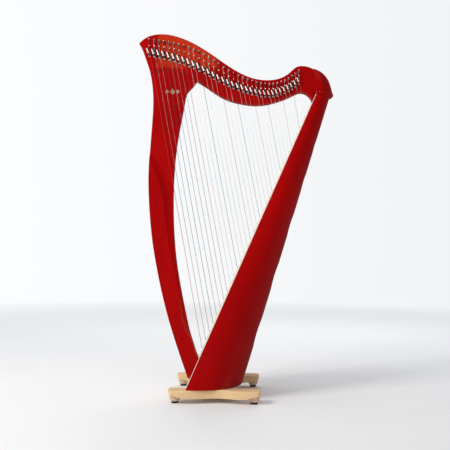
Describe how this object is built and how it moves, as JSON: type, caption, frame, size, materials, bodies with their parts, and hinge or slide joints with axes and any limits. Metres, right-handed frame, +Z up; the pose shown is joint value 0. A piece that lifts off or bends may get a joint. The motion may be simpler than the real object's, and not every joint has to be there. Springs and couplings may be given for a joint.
{
  "type": "lever harp",
  "caption": "Floor-standing lever harp with a round-backed soundbox, curved pillar, swept neck and a sharpening lever for each string.",
  "frame": {"origin": "on the floor, under the middle of the bounding box", "axes": "+Z up; +X from the pillar towards the player's shoulder; -Y is the harp's left side, with the levers"},
  "size_m": [0.7624, 0.38, 1.401],
  "materials": {
    "red_lacquer": "gloss",
    "beech": "satin",
    "beech_turned": "satin",
    "spruce": "satin",
    "maple": "satin",
    "plain_wood": "matte",
    "rubber": "matte",
    "brass": "satin",
    "steel": "satin",
    "nickel": "polished",
    "lever_metal": "satin",
    "dark_steel": "satin",
    "string_clear": "gloss",
    "string_red": "gloss",
    "string_black": "gloss"
  },
  "bodies": {
    "harp": {"foot_pads": "rubber", "foot_knobs": "beech_turned", "foot_bar_left": "beech", "foot_bar_right": "beech", "soundbox_shell": "red_lacquer", "soundboard": "spruce", "string_rib": "maple", "inner_rib": "plain_wood", "string_eyelets": "brass", "side_linings": "plain_wood", "soundbox_braces": "plain_wood", "bottom_board": "plain_wood", "top_block": "plain_wood", "pillar_block": "plain_wood", "neck": "red_lacquer", "pillar": "red_lacquer", "shoulder_bead": "red_lacquer", "shoulder_cap": "red_lacquer", "joint_bolts": "steel", "tuning_pins": "nickel", "bridge_pins": "nickel", "strings_natural": "string_clear", "strings_red": "string_red", "strings_black": "string_black", "lever_plates": "lever_metal", "lever_screws": "dark_steel"},
    "lever_01": {"lever_01": "lever_metal"},
    "lever_02": {"lever_02": "lever_metal"},
    "lever_03": {"lever_03": "lever_metal"},
    "lever_04": {"lever_04": "lever_metal"},
    "lever_05": {"lever_05": "lever_metal"},
    "lever_06": {"lever_06": "lever_metal"},
    "lever_07": {"lever_07": "lever_metal"},
    "lever_08": {"lever_08": "lever_metal"},
    "lever_09": {"lever_09": "lever_metal"},
    "lever_10": {"lever_10": "lever_metal"},
    "lever_11": {"lever_11": "lever_metal"},
    "lever_12": {"lever_12": "lever_metal"},
    "lever_13": {"lever_13": "lever_metal"},
    "lever_14": {"lever_14": "lever_metal"},
    "lever_15": {"lever_15": "lever_metal"},
    "lever_16": {"lever_16": "lever_metal"},
    "lever_17": {"lever_17": "lever_metal"},
    "lever_18": {"lever_18": "lever_metal"},
    "lever_19": {"lever_19": "lever_metal"},
    "lever_20": {"lever_20": "lever_metal"},
    "lever_21": {"lever_21": "lever_metal"},
    "lever_22": {"lever_22": "lever_metal"},
    "lever_23": {"lever_23": "lever_metal"},
    "lever_24": {"lever_24": "lever_metal"},
    "lever_25": {"lever_25": "lever_metal"},
    "lever_26": {"lever_26": "lever_metal"},
    "lever_27": {"lever_27": "lever_metal"},
    "lever_28": {"lever_28": "lever_metal"},
    "lever_29": {"lever_29": "lever_metal"},
    "lever_30": {"lever_30": "lever_metal"},
    "lever_31": {"lever_31": "lever_metal"},
    "lever_32": {"lever_32": "lever_metal"},
    "lever_33": {"lever_33": "lever_metal"},
    "lever_34": {"lever_34": "lever_metal"}
  },
  "joints": [
    {"name": "lever_01_flip", "type": "hinge", "parent": "harp", "child": "lever_01", "pos_m": [-0.34273, -0.02252, 1.32176], "axis": [0.9272, 0, 0.3746], "range_deg": [0, 100]},
    {"name": "lever_02_flip", "type": "hinge", "parent": "harp", "child": "lever_02", "pos_m": [-0.32281, -0.02247, 1.31843], "axis": [0.9272, 0, 0.3746], "range_deg": [0, 100]},
    {"name": "lever_03_flip", "type": "hinge", "parent": "harp", "child": "lever_03", "pos_m": [-0.30291, -0.02242, 1.31464], "axis": [0.9272, 0, 0.3746], "range_deg": [0, 100]},
    {"name": "lever_04_flip", "type": "hinge", "parent": "harp", "child": "lever_04", "pos_m": [-0.28303, -0.02237, 1.31036], "axis": [0.9272, 0, 0.3746], "range_deg": [0, 100]},
    {"name": "lever_05_flip", "type": "hinge", "parent": "harp", "child": "lever_05", "pos_m": [-0.26317, -0.02232, 1.30553], "axis": [0.9272, 0, 0.3746], "range_deg": [0, 100]},
    {"name": "lever_06_flip", "type": "hinge", "parent": "harp", "child": "lever_06", "pos_m": [-0.24332, -0.02227, 1.30012], "axis": [0.9272, 0, 0.3746], "range_deg": [0, 100]},
    {"name": "lever_07_flip", "type": "hinge", "parent": "harp", "child": "lever_07", "pos_m": [-0.2235, -0.02222, 1.29406], "axis": [0.9272, 0, 0.3746], "range_deg": [0, 100]},
    {"name": "lever_08_flip", "type": "hinge", "parent": "harp", "child": "lever_08", "pos_m": [-0.20373, -0.02217, 1.28729], "axis": [0.9272, 0, 0.3746], "range_deg": [0, 100]},
    {"name": "lever_09_flip", "type": "hinge", "parent": "harp", "child": "lever_09", "pos_m": [-0.18403, -0.02212, 1.27974], "axis": [0.9272, 0, 0.3746], "range_deg": [0, 100]},
    {"name": "lever_10_flip", "type": "hinge", "parent": "harp", "child": "lever_10", "pos_m": [-0.16443, -0.02208, 1.27134], "axis": [0.9272, 0, 0.3746], "range_deg": [0, 100]},
    {"name": "lever_11_flip", "type": "hinge", "parent": "harp", "child": "lever_11", "pos_m": [-0.14489, -0.02204, 1.26201], "axis": [0.9272, 0, 0.3746], "range_deg": [0, 100]},
    {"name": "lever_12_flip", "type": "hinge", "parent": "harp", "child": "lever_12", "pos_m": [-0.12477, -0.022, 1.25172], "axis": [0.9272, 0, 0.3746], "range_deg": [0, 100]},
    {"name": "lever_13_flip", "type": "hinge", "parent": "harp", "child": "lever_13", "pos_m": [-0.10529, -0.02196, 1.24078], "axis": [0.9272, 0, 0.3746], "range_deg": [0, 100]},
    {"name": "lever_14_flip", "type": "hinge", "parent": "harp", "child": "lever_14", "pos_m": [-0.08588, -0.02193, 1.22968], "axis": [0.9272, 0, 0.3746], "range_deg": [0, 100]},
    {"name": "lever_15_flip", "type": "hinge", "parent": "harp", "child": "lever_15", "pos_m": [-0.06657, -0.02191, 1.21891], "axis": [0.9272, 0, 0.3746], "range_deg": [0, 100]},
    {"name": "lever_16_flip", "type": "hinge", "parent": "harp", "child": "lever_16", "pos_m": [-0.04739, -0.0219, 1.20888], "axis": [0.9272, 0, 0.3746], "range_deg": [0, 100]},
    {"name": "lever_17_flip", "type": "hinge", "parent": "harp", "child": "lever_17", "pos_m": [-0.02828, -0.0219, 1.19974], "axis": [0.9272, 0, 0.3746], "range_deg": [0, 100]},
    {"name": "lever_18_flip", "type": "hinge", "parent": "harp", "child": "lever_18", "pos_m": [-0.00957, -0.02191, 1.19165], "axis": [0.9272, 0, 0.3746], "range_deg": [0, 100]},
    {"name": "lever_19_flip", "type": "hinge", "parent": "harp", "child": "lever_19", "pos_m": [0.00879, -0.02192, 1.18455], "axis": [0.9272, 0, 0.3746], "range_deg": [0, 100]},
    {"name": "lever_20_flip", "type": "hinge", "parent": "harp", "child": "lever_20", "pos_m": [0.02687, -0.02191, 1.1783], "axis": [0.9272, 0, 0.3746], "range_deg": [0, 100]},
    {"name": "lever_21_flip", "type": "hinge", "parent": "harp", "child": "lever_21", "pos_m": [0.04469, -0.02188, 1.17271], "axis": [0.9272, 0, 0.3746], "range_deg": [0, 100]},
    {"name": "lever_22_flip", "type": "hinge", "parent": "harp", "child": "lever_22", "pos_m": [0.0623, -0.02182, 1.16762], "axis": [0.9272, 0, 0.3746], "range_deg": [0, 100]},
    {"name": "lever_23_flip", "type": "hinge", "parent": "harp", "child": "lever_23", "pos_m": [0.0803, -0.02171, 1.163], "axis": [0.9272, 0, 0.3746], "range_deg": [0, 100]},
    {"name": "lever_24_flip", "type": "hinge", "parent": "harp", "child": "lever_24", "pos_m": [0.09736, -0.02158, 1.15934], "axis": [0.9272, 0, 0.3746], "range_deg": [0, 100]},
    {"name": "lever_25_flip", "type": "hinge", "parent": "harp", "child": "lever_25", "pos_m": [0.11396, -0.02144, 1.15721], "axis": [0.9272, 0, 0.3746], "range_deg": [0, 100]},
    {"name": "lever_26_flip", "type": "hinge", "parent": "harp", "child": "lever_26", "pos_m": [0.13001, -0.02134, 1.15702], "axis": [0.9272, 0, 0.3746], "range_deg": [0, 100]},
    {"name": "lever_27_flip", "type": "hinge", "parent": "harp", "child": "lever_27", "pos_m": [0.14555, -0.02126, 1.15865], "axis": [0.9272, 0, 0.3746], "range_deg": [0, 100]},
    {"name": "lever_28_flip", "type": "hinge", "parent": "harp", "child": "lever_28", "pos_m": [0.16066, -0.0212, 1.16183], "axis": [0.9272, 0, 0.3746], "range_deg": [0, 100]},
    {"name": "lever_29_flip", "type": "hinge", "parent": "harp", "child": "lever_29", "pos_m": [0.17541, -0.02112, 1.16637], "axis": [0.9272, 0, 0.3746], "range_deg": [0, 100]},
    {"name": "lever_30_flip", "type": "hinge", "parent": "harp", "child": "lever_30", "pos_m": [0.18987, -0.02099, 1.17214], "axis": [0.9272, 0, 0.3746], "range_deg": [0, 100]},
    {"name": "lever_31_flip", "type": "hinge", "parent": "harp", "child": "lever_31", "pos_m": [0.20403, -0.0208, 1.17913], "axis": [0.9272, 0, 0.3746], "range_deg": [0, 100]},
    {"name": "lever_32_flip", "type": "hinge", "parent": "harp", "child": "lever_32", "pos_m": [0.21783, -0.02057, 1.18744], "axis": [0.9272, 0, 0.3746], "range_deg": [0, 100]},
    {"name": "lever_33_flip", "type": "hinge", "parent": "harp", "child": "lever_33", "pos_m": [0.2312, -0.02033, 1.19721], "axis": [0.9272, 0, 0.3746], "range_deg": [0, 100]},
    {"name": "lever_34_flip", "type": "hinge", "parent": "harp", "child": "lever_34", "pos_m": [0.24411, -0.02009, 1.20873], "axis": [0.9272, 0, 0.3746], "range_deg": [0, 100]}
  ]
}
